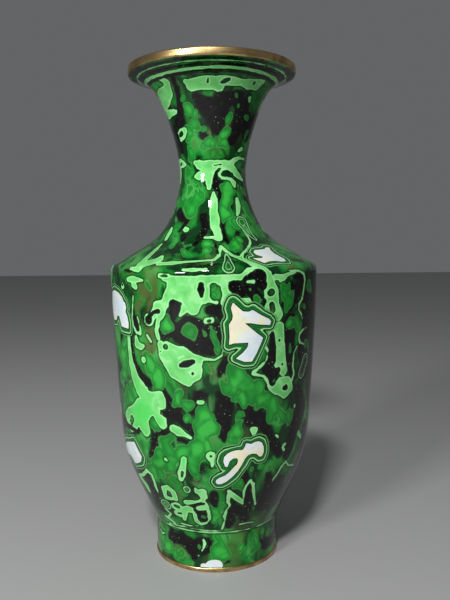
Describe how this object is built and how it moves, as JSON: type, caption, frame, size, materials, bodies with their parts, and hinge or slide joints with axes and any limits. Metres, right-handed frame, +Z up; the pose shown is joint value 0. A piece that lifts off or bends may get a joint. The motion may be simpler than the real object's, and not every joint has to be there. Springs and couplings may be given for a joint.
{
  "type": "cloisonne vase",
  "caption": "Tall footed vase with a broad shoulder and a narrow flared neck, bound in brass at lip and foot, with a marbled green coat inlaid with shell.",
  "frame": {"origin": "centre of the foot's underside, on the surface the vase stands on", "axes": "+Z up along the vase's axis, -Y towards the front (the side with the bolt-shaped and hook-shaped chips), +X to the right seen from the front"},
  "size_m": [0.108, 0.108, 0.254],
  "materials": {
    "brass": "worn satin brass, browned in the hollows",
    "copper": "spun copper sheet, hidden under the coat",
    "solder": "braze, hidden under the coat",
    "green_coat": "marbled bright green, deep green and near-black, polished to a gloss",
    "dark_lining": "dark green-black, glossy with light orange peel",
    "pearl": "mother-of-pearl, pearly white with pink, green and yellow tints"
  },
  "bodies": {
    "root": {"foot_ring": "brass", "foot_shell": "copper", "foot_coat": "green_coat", "foot_lining": "dark_lining", "base_plate": "copper", "base_coat": "dark_lining", "solder_foot": "solder", "body_shell": "copper", "body_coat_low": "green_coat", "body_coat_high": "green_coat", "body_lining": "dark_lining", "solder_shoulder": "solder", "shoulder_shell": "copper", "shoulder_coat": "green_coat", "solder_neck": "solder", "neck_shell": "copper", "neck_coat": "green_coat", "neck_lining": "dark_lining", "lip_ring": "brass", "pearl_bolt": "pearl", "pearl_hook": "pearl", "pearl_left_high": "pearl", "pearl_left_low": "pearl", "pearl_shoulder_right": "pearl", "pearl_foot_front": "pearl", "pearl_back_high": "pearl", "pearl_back_mid": "pearl", "pearl_back_low": "pearl", "pearl_side_right": "pearl", "pearl_shoulder_back": "pearl", "pearl_foot_back": "pearl"}
  },
  "joints": []
}
